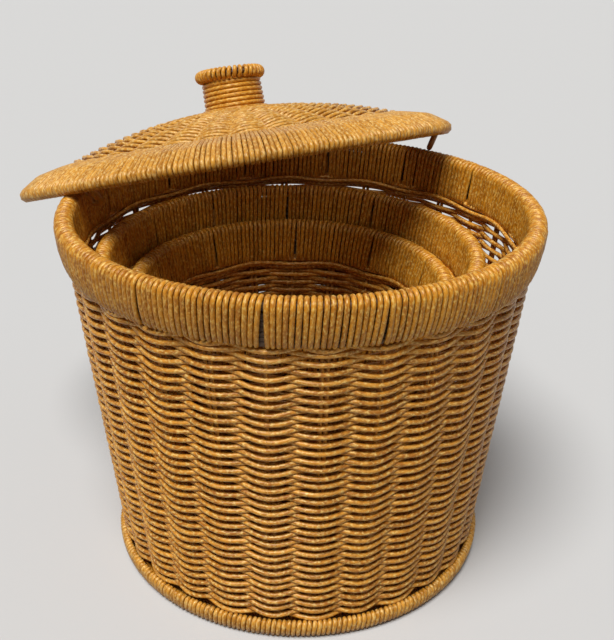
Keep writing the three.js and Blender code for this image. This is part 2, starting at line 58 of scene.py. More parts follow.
# %% Sizes of the make
MM = 0.001
STRAND = 4.0
WIRE = 4.0
WEAVE = 2.7
SEAT = 0.3
BAND_HEIGHT = 40.0
FOOT_HEIGHT = 16.5
BASE_MIDDLE = 6.5
BASE_TOP = 10.0
ROW_PITCH = 7.75
WALL_HALF = WIRE / 2 + SEAT + WEAVE
WRAP_MIDDLE = WALL_HALF + SEAT + STRAND / 2
WRAP_OUTER = WALL_HALF + SEAT + STRAND
FULL_TURN = 2 * math.pi


class Basket:
    """Where a basket's rim, foot and uprights are, with its own floor at z = 0."""

    def __init__(self, body, height, rim, roll, foot, uprights, first, shift, floor):
        self.body = body
        self.height = height
        self.rim = rim
        self.roll = roll
        self.foot = foot
        self.uprights = uprights
        self.first = math.radians(first)
        self.place = np.array([shift, 0.0, floor])
        self.roll_z = height - roll
        self.band_z = height - BAND_HEIGHT
        self.foot_inside = foot - WRAP_OUTER

    def line(self, z):
        return self.foot + (self.rim - self.foot) * z / self.roll_z


def nested(body, outer, rim_gap, foot_gap, rim_drop, roll, uprights, shift):
    """A basket that stands on the bottom of another, its gaps measured from that one."""
    height = outer.height - BASE_TOP - SEAT - rim_drop
    rim = outer.rim - outer.roll - rim_gap - roll
    widest = outer.foot_inside - foot_gap - WRAP_OUTER
    share = FOOT_HEIGHT / (height - roll)
    foot = (widest - rim * share) / (1 - share)
    floor = outer.place[2] + BASE_TOP + SEAT
    return Basket(body, height, rim, roll, foot, uprights, 0.0, outer.place[0] + shift, floor)


hamper = Basket(
    "hamper", height=321.0, rim=190.5, roll=11.2, foot=157.0, uprights=14, first=-7.5, shift=0.0, floor=0.0)
middle = nested(
    "middle_basket", hamper, rim_gap=14.8, foot_gap=11.0, rim_drop=38.8, roll=10.0, uprights=12, shift=-9.0)
small = nested(
    "small_basket", middle, rim_gap=4.0, foot_gap=9.0, rim_drop=27.5, roll=10.0, uprights=10, shift=0.5)
for basket in (hamper, middle, small):
    print(basket.body, "rim", round(basket.rim, 1), "foot", round(basket.foot, 1), "at", basket.place)

# %% [markdown]
# ## Strands as meshes
# A strand could be a curve with a bevel, one object each, but there are thousands of turns. One mesh
# for each piece is built from arrays instead: a ring of points is set round every point of a middle
# line, and the rings are joined by four-sided faces. The strand's length and its own number go into
# the UV map, so that the cane's flecks can run along each strand and differ from strand to strand.

# %% Turn middle lines into tubes
SEED = 11
STRAND_NUMBERS = 900
randomness = np.random.default_rng(SEED)


def polar(radius, turn, z):
    """Points at a turn from the front (-Y) towards the right (+X)."""
    radius, turn, z = np.broadcast_arrays(radius, turn, z)
    return np.stack([radius * np.sin(turn), -radius * np.cos(turn), z], axis=-1)


def unit(vectors):
    return vectors / np.maximum(np.linalg.norm(vectors, axis=-1, keepdims=True), 1e-9)


def tube_arrays(lines, outs, radius, sides, is_loop):
    """Vertices, faces and UVs of tubes along lines of shape (strands, points, 3)."""
    strands, points = lines.shape[:2]
    if is_loop:
        ahead = np.roll(lines, -1, axis=1) - np.roll(lines, 1, axis=1)
    else:
        ahead = np.gradient(lines, axis=1)
    ahead = unit(ahead)
    out = unit(outs - ahead * np.sum(outs * ahead, axis=-1, keepdims=True))
    across = np.cross(ahead, out)
    angle = np.arange(sides) * FULL_TURN / sides
    thick = np.broadcast_to(np.asarray(radius, dtype=float), (strands, points))[..., None, None]
    ring = out[:, :, None] * np.cos(angle)[:, None] + across[:, :, None] * np.sin(angle)[:, None]
    vertices = (lines[:, :, None] + thick * ring).reshape(-1, 3)

    step = np.linalg.norm(np.roll(lines, -1, axis=1) - lines, axis=-1) * MM
    along = np.concatenate([np.zeros((strands, 1)), np.cumsum(step, axis=1)], axis=1)
    stretches = points if is_loop else points - 1
    strand, here, side = np.meshgrid(
        np.arange(strands), np.arange(stretches), np.arange(sides), indexing="ij")
    strand, here, side = strand.ravel(), here.ravel(), side.ravel()
    after = (here + 1) % points
    beside = (side + 1) % sides

    def at(point, corner):
        return (strand * points + point) * sides + corner

    faces = np.stack([at(here, side), at(here, beside), at(after, beside), at(after, side)], axis=1)
    number = randomness.integers(0, STRAND_NUMBERS, strands)[strand]
    low, high = number + side / sides, number + (side + 1) / sides
    uv = np.stack([
        np.stack([along[strand, here], low], axis=1),
        np.stack([along[strand, here], high], axis=1),
        np.stack([along[strand, here + 1], high], axis=1),
        np.stack([along[strand, here + 1], low], axis=1),
    ], axis=1)
    ends = []
    if not is_loop:
        first = (np.arange(strands) * points * sides)[:, None] + np.arange(sides)
        last = first + (points - 1) * sides
        ends = np.concatenate([first[:, ::-1], last])
    return vertices, faces, uv.reshape(-1, 2), ends


print("the front of a circle of 1 mm is at", polar(1.0, 0.0, 0.0))

# %% [markdown]
# ## Pieces
# What is laid in one go on the real hamper, such as the winding of one rim, becomes one piece. Blender can
# join objects, but that is slow with thousands of them. So the arrays of all the tubes are put end to end
# and given to one mesh. The piece is then told which body it rides on, what kind of surface it is and which
# solids it stands in for.

# %% Make a piece
def strand_piece(name, parts, place=None):
    """One object from several tube arrays, moved by a 4 by 4 matrix or an offset in millimetres."""
    vertices, corners, totals, uvs = [], [], [], []
    offset = 0
    for points, faces, uv, ends in parts:
        vertices.append(points)
        corners.append(faces.ravel() + offset)
        totals.append(np.full(len(faces), 4))
        uvs.append(uv)
        if len(ends):
            corners.append(ends.ravel() + offset)
            totals.append(np.full(len(ends), ends.shape[1]))
            uvs.append(np.zeros((ends.size, 2)))
        offset += len(points)
    vertices = np.concatenate(vertices)
    if place is not None and np.shape(place) == (4, 4):
        vertices = vertices @ place[:3, :3].T + place[:3, 3]
    elif place is not None:
        vertices = vertices + place
    corners = np.concatenate(corners)
    totals = np.concatenate(totals)
    starts = np.concatenate([[0], np.cumsum(totals)[:-1]])
    mesh = bpy.data.meshes.new(name)
    mesh.vertices.add(len(vertices))
    mesh.vertices.foreach_set("co", (vertices * MM).astype(np.float32).ravel())
    mesh.loops.add(len(corners))
    mesh.loops.foreach_set("vertex_index", corners.astype(np.int32))
    mesh.polygons.add(len(starts))
    mesh.polygons.foreach_set("loop_start", starts.astype(np.int32))
    mesh.polygons.foreach_set("use_smooth", np.ones(len(starts), dtype=bool))
    layer = mesh.uv_layers.new(name="strand")
    layer.data.foreach_set("uv", np.concatenate(uvs).astype(np.float32).ravel())
    mesh.update(calc_edges=True)
    piece = bpy.data.objects.new(name, mesh)
    bpy.context.scene.collection.objects.link(piece)
    print(name, len(vertices), "vertices", len(starts), "faces")
    return piece


def finish_piece(piece, body, slot, material, *nodes):
    piece.data.materials.append(material)
    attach(piece, body)
    if nodes:
        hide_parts(*nodes)


print("pieces are made in millimetres and scaled by", MM)

# %% [markdown]
# ## Unevenness
# Weaving by hand is never quite even, and an even weave looks stamped. A noise texture could push the
# points about, but strands that lie close would then move alike. So each strand has a few slow waves of its
# own, with heights and starts drawn at random from one fixed seed.

# %% Let strands waver
SLOWEST_WAVE = 2
FASTEST_WAVE = 9


def waver(turns, strands, size, slowest=SLOWEST_WAVE, fastest=FASTEST_WAVE):
    """Slow hand-made unevenness along each of several strands."""
    total = np.zeros((strands, len(turns)))
    for waves in range(slowest, fastest):
        lift = randomness.normal(0, 1, (strands, 1)) / waves
        shift = randomness.random((strands, 1)) * FULL_TURN
        total += lift * np.sin(waves * turns + shift)
    return total * size


print("a strand wavers in", FASTEST_WAVE - SLOWEST_WAVE, "waves round the basket")

# %% [markdown]
# ## The cane
# Plastic cane is drawn in two or three browns that run into each other, so each strand is honey
# coloured with pale cream flecks and darker, redder stretches. It has a satin shine and fine lines
# along its length. It could be painted on a picture, but a picture would repeat, and there is far too
# much strand. The mottle is used by every strand material with its own colours, so it is a node group,
# and its sockets come first.

# %% Open the mottle group
def new_group(name, inputs, outputs):
    group = bpy.data.node_groups.new(name, "ShaderNodeTree")
    for label, kind, value in inputs:
        socket = group.interface.new_socket(name=label, in_out="INPUT", socket_type=kind)
        if value is not None:
            socket.default_value = value
    for label, kind in outputs:
        group.interface.new_socket(name=label, in_out="OUTPUT", socket_type=kind)
    return group, group.nodes.new("NodeGroupInput"), group.nodes.new("NodeGroupOutput")


mottle, mottle_in, mottle_out = new_group(
    "Drawn cane mottle",
    [
        ("Strand", "NodeSocketVector", None),
        ("Honey", "NodeSocketColor", (0.45, 0.19, 0.035, 1)),
        ("Russet", "NodeSocketColor", (0.22, 0.075, 0.012, 1)),
        ("Cream", "NodeSocketColor", (0.70, 0.44, 0.16, 1)),
        ("Flecking", "NodeSocketFloat", 1.0),
    ],
    [("Color", "NodeSocketColor"), ("Roughness", "NodeSocketFloat"), ("Height", "NodeSocketFloat")],
)
on_strand = mottle_in.outputs["Strand"]
print("group", mottle.name, "takes", [socket.name for socket in mottle_in.outputs if socket.name])

# %% [markdown]
# ## Stretches, flecks and lines
# Drawing pulls every mark on cane out lengthwise. The group reads the UV map, where U is the length along
# the strand, so one noise stretched in three ways gives the dark stretches, the pale flecks and the fine
# lines. A noise keeps mostly to the middle of its range, so for the first two that middle is spread out to
# run from 0 to 1.

# %% Draw the marks along the strand
def scaled_noise(group, source, stretch, detail, rough):
    """Noise on the strand's own coordinates, stretched by (along, across)."""
    nodes, links = group.nodes, group.links
    mapping = nodes.new("ShaderNodeMapping")
    mapping.inputs["Scale"].default_value = (stretch[0], stretch[1], 1.0)
    noise = nodes.new("ShaderNodeTexNoise")
    noise.noise_dimensions = "2D"
    noise.inputs["Scale"].default_value = 1.0
    noise.inputs["Detail"].default_value = detail
    noise.inputs["Roughness"].default_value = rough
    links.new(source, mapping.inputs["Vector"])
    links.new(mapping.outputs["Vector"], noise.inputs["Vector"])
    return noise.outputs["Fac"]


def spread(group, source, low, high):
    """Stretches the middle of a noise's range to run from 0 to 1."""
    node = group.nodes.new("ShaderNodeMapRange")
    node.inputs["From Min"].default_value = low
    node.inputs["From Max"].default_value = high
    group.links.new(source, node.inputs["Value"])
    return node.outputs["Result"]


stretches = spread(mottle, scaled_noise(mottle, on_strand, (170, 3.5), 2, 0.55), 0.34, 0.62)
flecks = spread(mottle, scaled_noise(mottle, on_strand, (330, 6.5), 2, 0.55), 0.48, 0.74)
lines = scaled_noise(mottle, on_strand, (60, 22), 2, 0.6)
print("marks drawn with", len(mottle.nodes), "nodes so far")

# %% [markdown]
# ## Strand by strand
# Strands come from different lengths of cane, so some are redder than their neighbours. The whole part of
# V is the strand's number. White noise turns it into one random value for the strand, which is added to
# the mask of the stretches before the two browns are blended.

# %% Tint each strand
STRAND_TINT = 0.4
parted = mottle.nodes.new("ShaderNodeSeparateXYZ")
whole = mottle.nodes.new("ShaderNodeMath")
whole.operation = "FLOOR"
batch = mottle.nodes.new("ShaderNodeTexWhiteNoise")
batch.noise_dimensions = "1D"
tint = mottle.nodes.new("ShaderNodeMapRange")
tint.inputs["To Min"].default_value = -STRAND_TINT
tint.inputs["To Max"].default_value = STRAND_TINT
tone = mottle.nodes.new("ShaderNodeMath")
tone.use_clamp = True
mottle.links.new(on_strand, parted.inputs["Vector"])
mottle.links.new(parted.outputs["Y"], whole.inputs[0])
mottle.links.new(whole.outputs["Value"], batch.inputs["W"])
mottle.links.new(batch.outputs["Value"], tint.inputs["Value"])
mottle.links.new(stretches, tone.inputs[0])
mottle.links.new(tint.outputs["Result"], tone.inputs[1])
print("strands differ by up to", STRAND_TINT, "in tone")

# %% [markdown]
# ## Colour and shine
# Honey and russet are blended by the tone, and the cream flecks lie over both. The fine lines make the
# satin shine uneven, and they go out as a height too, so that a material can turn them into a bump.

# %% Put the mottle together
def blend_colours(group, share, first, second):
    node = group.nodes.new("ShaderNodeMix")
    node.data_type = "RGBA"
    group.links.new(share, node.inputs["Factor"])
    group.links.new(first, node.inputs["A"])
    group.links.new(second, node.inputs["B"])
    return node.outputs["Result"]


ground = blend_colours(
    mottle, tone.outputs["Value"], mottle_in.outputs["Russet"], mottle_in.outputs["Honey"])
flecking = mottle.nodes.new("ShaderNodeMath")
flecking.operation = "MULTIPLY"
mottle.links.new(flecks, flecking.inputs[0])
mottle.links.new(mottle_in.outputs["Flecking"], flecking.inputs[1])
mottled = blend_colours(mottle, flecking.outputs["Value"], ground, mottle_in.outputs["Cream"])
mottle.links.new(mottled, mottle_out.inputs["Color"])
shine = mottle.nodes.new("ShaderNodeMapRange")
shine.inputs["To Min"].default_value = 0.24
shine.inputs["To Max"].default_value = 0.44
mottle.links.new(lines, shine.inputs["Value"])
mottle.links.new(shine.outputs["Result"], mottle_out.inputs["Roughness"])
mottle.links.new(lines, mottle_out.inputs["Height"])
print("group", mottle.name, "with", len(mottle.nodes), "nodes")

# %% [markdown]
# ## The canes
# The wall, the windings, the lid and the stakes differ a little in colour, as lengths from different rolls
# do. The bottoms and the loops have darker copies of the cane, which are painted shade, because the bottoms
# lie deep inside the basket and the loops hang under the lid. The shader stays in each material, and the
# group only feeds it. The shine is tinted, because the coloured skin of the cane warms what it mirrors.

# %% Colour the canes
def cane(name, flecking, honey, russet, cream):
    material = bpy.data.materials.new(name)
    material.use_nodes = True
    nodes, links = material.node_tree.nodes, material.node_tree.links
    shader = nodes["Principled BSDF"]
    shader.inputs["IOR"].default_value = 1.5
    shader.inputs["Specular Tint"].default_value = (1.0, 0.88, 0.68, 1)
    uv = nodes.new("ShaderNodeUVMap")
    uv.uv_map = "strand"
    group = nodes.new("ShaderNodeGroup")
    group.node_tree = mottle
    for label, colour in (("Honey", honey), ("Russet", russet), ("Cream", cream)):
        group.inputs[label].default_value = (*colour, 1)
    group.inputs["Flecking"].default_value = flecking
    bump = nodes.new("ShaderNodeBump")
    bump.inputs["Strength"].default_value = 0.4
    bump.inputs["Distance"].default_value = 0.0004
    links.new(uv.outputs["UV"], group.inputs["Strand"])
    links.new(group.outputs["Color"], shader.inputs["Base Color"])
    links.new(group.outputs["Roughness"], shader.inputs["Roughness"])
    links.new(group.outputs["Height"], bump.inputs["Height"])
    links.new(bump.outputs["Normal"], shader.inputs["Normal"])
    return material


woven_cane = cane("woven cane", 0.85, (0.69, 0.295, 0.030), (0.40, 0.134, 0.008), (0.95, 0.66, 0.21))
wound_cane = cane("wound cane", 0.75, (0.64, 0.264, 0.015), (0.39, 0.130, 0.004), (0.93, 0.62, 0.16))
lid_cane = cane("lid cane", 0.7, (0.66, 0.306, 0.034), (0.43, 0.170, 0.011), (0.93, 0.67, 0.25))
# Painted shade: a darker copy of the cane for the bottoms, which lie deep inside the basket.
inner_cane_painted_shade = cane("inner cane, painted shade", 0.6, (0.43, 0.170, 0.014), (0.27, 0.090, 0.006), (0.61, 0.33, 0.07))
stake_cane = cane("stake cane", 0.5, (0.54, 0.220, 0.018), (0.35, 0.118, 0.006), (0.70, 0.38, 0.08))
# Painted shade: a darker copy of the cane for the loops, which hang in the shade under the lid.
loop_cane_painted_shade = cane("loop cane, painted shade", 0.4, (0.43, 0.175, 0.020), (0.27, 0.096, 0.009), (0.56, 0.28, 0.06))
print("canes:", woven_cane.name, wound_cane.name, lid_cane.name, inner_cane_painted_shade.name, stake_cane.name,
      loop_cane_painted_shade.name)

# %% [markdown]
# ## Wire, rim core and knob plug
# These sit under the strands and show only as dark slivers. Painted wire has an even coat with small dents
# in it, so a fine noise drives its colour, roughness and bump. The rim's filling and the wooden plug of the
# knob are finished in the same way, with a coarser noise. The rim's filling is made near black as painted
# shade, so that the gaps between the rim's turns look shaded.

# %% Hidden materials
def coated(name, colour, scale):
    material = bpy.data.materials.new(name)
    material.use_nodes = True
    nodes, links = material.node_tree.nodes, material.node_tree.links
    shader = nodes["Principled BSDF"]
    place = nodes.new("ShaderNodeTexCoord")
    noise = nodes.new("ShaderNodeTexNoise")
    noise.inputs["Scale"].default_value = scale
    tint = nodes.new("ShaderNodeMix")
    tint.data_type = "RGBA"
    tint.inputs["A"].default_value = (*colour, 1)
    tint.inputs["B"].default_value = (*[value * 0.6 for value in colour], 1)
    dull = nodes.new("ShaderNodeMapRange")
    dull.inputs["To Min"].default_value = 0.4
    dull.inputs["To Max"].default_value = 0.65
    bump = nodes.new("ShaderNodeBump")
    bump.inputs["Distance"].default_value = 0.0003
    links.new(place.outputs["Object"], noise.inputs["Vector"])
    links.new(noise.outputs["Fac"], tint.inputs["Factor"])
    links.new(tint.outputs["Result"], shader.inputs["Base Color"])
    links.new(noise.outputs["Fac"], dull.inputs["Value"])
    links.new(dull.outputs["Result"], shader.inputs["Roughness"])
    links.new(noise.outputs["Fac"], bump.inputs["Height"])
    links.new(bump.outputs["Normal"], shader.inputs["Normal"])
    return material


painted_wire = coated("painted wire", (0.14, 0.06, 0.018), 700)
# Painted shade: the rim filling is near black so that the gaps between the rim's turns look shaded.
rim_filling_painted_shade = coated("rim filling, painted shade", (0.10, 0.05, 0.018), 260)
plug_wood = coated("plug wood", (0.22, 0.09, 0.022), 120)


def paint_node(node, material):
    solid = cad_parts[node]
    solid.data.materials.clear()
    solid.data.materials.append(material)


for node in ("lid_edge_hoop", "lid_band_hoop", "knob_ring_core"):
    paint_node(node, painted_wire)
paint_node("knob_core", plug_wood)
print("finishes:", [material.name for material in bpy.data.materials])

# %% [markdown]
# ## The woven wall
# The wall is a plain weave: one strand passes outside the uprights and inside the thin stakes between
# them, and the next strand does the opposite, so at any one column every second strand shows. A cosine
# gives the way in and out. On the real wall each strand also hangs a little where it passes outside,
# because nothing props it there, so a sag is added to the outer half of the wave only. The topmost
# strand comes out from under the rim with nothing above to hold it, and hangs deepest. Inside, one more
# strand is tucked in under the rim. The nested walls are woven a little tighter than the hamper's.

# %% Weave the walls
OVER_SAG = 2.4
UNDER_SAG = 0.9
TOP_SAG = 5.0
BORDER_DROP = 0.6
BORDER_HANG = 1.4
BORDER_INSIDE = 5.2
BORDER_POINTS = 336
BORDER_THIN = 0.9


def woven_rows(basket, samples, sides, swing_out, swing_in):
    """The strands outside the uprights, then the strands outside the stakes."""
    rows = int(round((basket.band_z - FOOT_HEIGHT) / ROW_PITCH))
    pitch = (basket.band_z - FOOT_HEIGHT) / rows
    columns = 2 * basket.uprights
    turns = basket.first + np.arange(columns * samples) * FULL_TURN / (columns * samples)
    column = np.arange(columns * samples)[None, :] / samples
    sets = []
    for side, start, sag, extra in ((1, 0.75, OVER_SAG, 0), (-1, 0.25, UNDER_SAG, 1)):
        count = rows + extra
        level = FOOT_HEIGHT + (np.arange(count) + start)[:, None] * pitch
        sags = np.full((count, 1), sag)
        sags[rows:] = TOP_SAG
        swing = side * np.cos(math.pi * (column + waver(turns, count, 0.03)))
        z = level + waver(turns, count, 0.3) - sags * np.maximum(swing, 0) ** 1.2
        reach = swing * np.where(swing > 0, swing_out, swing_in) + waver(turns, count, 0.15)
        lines = polar(basket.line(z) + reach, turns[None, :], z)
        outs = polar(np.ones_like(z), turns[None, :], 0.0)
        sets.append(tube_arrays(lines, outs, STRAND / 2, sides, True))
    return sets


def border_strand(basket, sides):
    """One strand inside, tucked under the rim, that closes the gap above the first rows."""
    turns = np.arange(BORDER_POINTS) * FULL_TURN / BORDER_POINTS
    swing = np.cos(basket.uprights * (turns - basket.first))[None, :]
    z = basket.band_z - BORDER_DROP - BORDER_HANG * swing + waver(turns, 1, 0.3)
    lines = polar(basket.line(z) - BORDER_INSIDE, turns[None, :], z)
    outs = polar(np.ones_like(z), turns[None, :], 0.0)
    return tube_arrays(lines, outs, STRAND / 2 * BORDER_THIN, sides, True)


for basket, samples, sides, swing_out, swing_in in (
    (hamper, 9, 9, 4.1, 3.5), (middle, 8, 8, 3.5, 2.9), (small, 8, 8, 3.5, 2.9),
):
    over, under = woven_rows(basket, samples, sides, swing_out, swing_in)
    outer = strand_piece(f"{basket.body}_strands_over", [over], basket.place)
    inside = [under, border_strand(basket, sides)]
    inner = strand_piece(f"{basket.body}_strands_under", inside, basket.place)
    finish_piece(outer, basket.body, "woven_strand", woven_cane, f"{basket.body}_weave_outer")
    finish_piece(inner, basket.body, "woven_strand", woven_cane, f"{basket.body}_weave_inner")

# %% [markdown]
# ## Uprights and stakes
# Through the gaps between the rows one sees what the strands are woven round: single uprights, and
# between them two thin rods side by side. They are straight, so each is a tube of two rings. A hoop
# joins the uprights at the foot and another under the band.

# %% Stand the uprights and the stakes
UPRIGHT_FROM = 5.0
UPRIGHT_SHORT = 8.0
UPRIGHT_THIN = 0.9
BASE_HOOP_Z = 6.3
BAND_HOOP_RISE = 4.0
STAKE_FROM = 9.0
STAKE_INTO_BAND = 3
STAKE_ROD = 1.55
STAKE_APART = 1.95
STAKE_LEVEL = 150.0


def standing_rods(basket, turns, low, high, radius, sides):
    z = np.array([low, high])
    lines = polar(basket.line(z)[None, :], turns[:, None], z[None, :])
    outs = polar(np.ones((len(turns), 2)), turns[:, None], 0.0)
    return tube_arrays(lines, outs, radius, sides, False)


def wire_hoop(radius, z, rod, sides, points=168):
    turns = np.arange(points) * FULL_TURN / points
    lines = polar(np.full(points, radius), turns, z)[None]
    outs = polar(np.ones(points), turns, 0.0)[None]
    return tube_arrays(lines, outs, rod, sides, True)


for basket in (hamper, middle, small):
    spacing = FULL_TURN / basket.uprights
    at_uprights = basket.first + np.arange(basket.uprights) * spacing
    band_hoop_z = basket.band_z + BAND_HOOP_RISE
    rods = [
        standing_rods(
            basket, at_uprights, UPRIGHT_FROM, basket.roll_z - UPRIGHT_SHORT, WIRE / 2 * UPRIGHT_THIN, 10),
        wire_hoop(basket.line(BASE_HOOP_Z), BASE_HOOP_Z, WIRE / 2, 8),
        wire_hoop(basket.line(band_hoop_z), band_hoop_z, WIRE / 2, 8),
    ]
    wires = strand_piece(f"{basket.body}_uprights", rods, basket.place)
    finish_piece(wires, basket.body, "stake", stake_cane, f"{basket.body}_frame")
    apart = STAKE_APART / basket.line(STAKE_LEVEL)
    between = at_uprights + spacing / 2
    bundle = np.concatenate([between + apart * share for share in (-1.0, 1.0)])
    thin = strand_piece(
        f"{basket.body}_stakes",
        [standing_rods(basket, bundle, STAKE_FROM, basket.band_z + STAKE_INTO_BAND, STAKE_ROD, 8)],
        basket.place,
    )
    covered = [f"hamper_stake_{i + 1:02d}" for i in range(hamper.uprights)] if basket is hamper else []
    finish_piece(thin, basket.body, "stake", stake_cane, *covered)

# %% [markdown]
# ## The filling of the rim
# A thick hoop gives the rolled rim its bulk, and the upright part of the band below it is packed with hoops
# of thin rod, so that no daylight shows between the turns. Both are coloured near black, which is painted
# shade, and are seen only as dark lines between the turns. The thick hoop has its own solid, and one piece
# stands for all of it.

# %% Fill the rims
LINING = (2.0, 6.0, 10.0, 14.0, 18.0, 22.0, 25.0)
LINING_OUT = 2.6
LINING_ROD = 2.5
SLIMMER = 0.27


def crest(basket):
    """Middle of the rim's rounded top in (radius, z), and how far its turns' middle lines lie from it."""
    slim = basket.roll * SLIMMER
    return (basket.rim + slim, basket.roll_z + slim), basket.roll - slim - STRAND / 2


for basket in (hamper, middle, small):
    centre, reach = crest(basket)
    hoops = [wire_hoop(*centre, reach - STRAND / 2 - SEAT, 12, 112)]
    for rise in LINING:
        level = basket.band_z + rise
        hoops.append(wire_hoop(basket.line(level) + LINING_OUT, level, LINING_ROD, 8, 112))
    filling = strand_piece(f"{basket.body}_rim_filling_painted_shade", hoops, basket.place)
    finish_piece(filling, basket.body, "stake", rim_filling_painted_shade, f"{basket.body}_rim_core")

# %% [markdown]
# ## The rim's outline
# Cut across, the band is a strip that goes up the outside, over a round crest and down the inside, and
# tucks in under itself. That outline of radius and height is written once, in offsets from the wall's line
# and the band's lower edge, and every turn of the winding follows it.

# %% Outline the rim
def arc_points(centre, reach, start, stop, steps):
    angle = np.radians(np.linspace(start, stop, steps + 1))
    return [(centre[0] + reach * math.cos(a), centre[1] + reach * math.sin(a)) for a in angle]


def rim_profile(basket):
    """Up the outside of the band, over the crest and down its slimmer inside."""
    low = basket.line(basket.band_z)
    z = basket.band_z + STRAND / 2
    centre, reach = crest(basket)
    return [
        (low + 3.0, z - 1.0),
        (low + 6.0, z - 0.2),
        (low + WRAP_MIDDLE, z + 2.0),
        (low + WRAP_MIDDLE + 2.0, z + 8.0),
        (low + WRAP_MIDDLE + 3.8, z + 16.0),
        *arc_points(centre, reach, -8, 186, 10),
        (low - 2.6, z + 12.0),
        (low - 3.4, z + 4.0),
        (low - 3.2, z + 0.6),
        (low - 1.0, z - 0.6),
    ]


print("rim outline of the hamper in", len(rim_profile(hamper)), "points")

# %% [markdown]
# ## The wound rim
# The band at the top is one strand wound upright over the rim, nearly three hundred turns side by side.
# A real winding is one spiral. Each turn is drawn here as its own tube, a pitch further round, because
# the joins are hidden where the turns tuck in under the band. Turns stand a little unevenly, and at the
# uprights they part, at some more than at others, which leaves dark slits in the lower part of the band.

# %% Wind the rims
TURN_TILT = 0.05
SLIT_FADE = 2.2
RIM_FILL = 0.87
SLIT_STRAY = 0.02
SLIT_LEAST = 0.2
SLIT_SPREAD = 0.35


def wound_turns(profile, turns, lean, sides, fill, part_at=None, part=0.0, wobble=0.2):
    """Tubes along one profile of (radius, z), repeated at each turn, with a lean of one pitch.

    Cane is soft enough to be pressed thinner where the turns crowd, so a tube fills a share of its pitch.
    """
    profile = np.asarray(profile, dtype=float)
    lengths = np.concatenate([[0], np.cumsum(np.linalg.norm(np.diff(profile, axis=0), axis=1))])
    share = lengths / lengths[-1]
    count = len(turns)
    along = np.gradient(profile, axis=0)
    outward = np.stack([along[:, 1], -along[:, 0]], axis=1)
    outward = outward / np.linalg.norm(outward, axis=1, keepdims=True)
    swell = randomness.normal(0, wobble, (count, 1))
    tilt = randomness.normal(0, TURN_TILT, (count, 1)) * lean
    at = turns[:, None] + lean * (share[None, :] - 0.5) + tilt * (share[None, :] - 0.5) * 2
    if part_at is not None:
        away = (at[:, :, None] - part_at[None, None, :] + math.pi) % FULL_TURN - math.pi
        which = np.abs(away).argmin(axis=2)
        nearest = np.take_along_axis(away, which[:, :, None], axis=2)[:, :, 0]
        low = np.clip((profile[:, 1].max() - profile[:, 1]) / np.ptp(profile[:, 1]), 0, 1) ** 0.7
        push = np.asarray(part)[which] * np.exp(-np.abs(nearest) / (SLIT_FADE * abs(lean))) * low[None, :]
        past = nearest[:, at.shape[1] // 3, None] >= 0
        at = at + np.where(past, push, -push)
    r = profile[None, :, 0] + swell * outward[None, :, 0]
    z = profile[None, :, 1] + swell * outward[None, :, 1] * 0.5
    lines = polar(r, at, z)
    outs = polar(np.broadcast_to(outward[None, :, 0], at.shape), at, outward[None, :, 1])
    thick = fill / 2 * FULL_TURN * profile[None, :, 0] / count
    return tube_arrays(lines, outs, thick, sides, False)


def uneven_turns(count, jitter=0.025):
    pitch = FULL_TURN / count
    return (np.arange(count) + randomness.normal(0, jitter, count)) * pitch


for basket, count in ((hamper, 278), (middle, 227), (small, 191)):
    slits = basket.first + np.arange(basket.uprights) * FULL_TURN / basket.uprights
    slits = slits + randomness.normal(0, SLIT_STRAY, len(slits))
    gaps = (SLIT_LEAST + SLIT_SPREAD * randomness.random(len(slits))) * FULL_TURN / count
    turns = wound_turns(
        rim_profile(basket), uneven_turns(count), FULL_TURN / count, 9, RIM_FILL, slits, gaps)
    band = strand_piece(f"{basket.body}_wound_rim", [turns], basket.place)
    finish_piece(band, basket.body, "wound_strand", wound_cane, f"{basket.body}_rim_wrap")

# %% [markdown]
# ## The foot border
# The bottom edge is wound in the same way, round the base hoop and the lowest rows, and the basket
# stands on these turns. The profile is a trough, flat underneath.

# %% Wind the feet
FOOT_BULGE = 1.6
FOOT_FILL = 0.96


def foot_profile(basket):
    """From the inside, round underneath and up the outside."""
    outer = basket.line(FOOT_HEIGHT - 3) + WRAP_MIDDLE + FOOT_BULGE
    low = basket.line(6.0) + WRAP_MIDDLE + FOOT_BULGE
    inner = basket.foot_inside + STRAND / 2
    return [
        (inner + 3.0, FOOT_HEIGHT - 5.0),
        (inner, FOOT_HEIGHT - 6.5),
        (inner, 6.0),
        (inner + 1.2, 3.2),
        (inner + 4.0, 2.1),
        (low - 4.0, 2.1),
        (low - 1.2, 3.2),
        (low, 6.0),
        (outer, FOOT_HEIGHT - 4.0),
        (outer - 1.0, FOOT_HEIGHT - 2.2),
        (outer - 4.0, FOOT_HEIGHT - 2.0),
    ]


for basket, count in ((hamper, 250), (middle, 204), (small, 160)):
    turns = wound_turns(
        foot_profile(basket), uneven_turns(count), FULL_TURN / count, 8, FOOT_FILL, wobble=0.05)
    border = strand_piece(f"{basket.body}_wound_foot", [turns], basket.place)
    finish_piece(border, basket.body, "wound_strand", lid_cane, f"{basket.body}_foot_wrap")

# %% [markdown]
# ## The woven bottoms
# The bottoms are worked out, since only a dark corner of one is seen: rings woven over spokes, the
# wall's own weave laid flat. Up and down takes the place of in and out.

# %% Weave the bottoms
BOTTOM_REACH = 1.6
BOTTOM_STRAND = 1.85


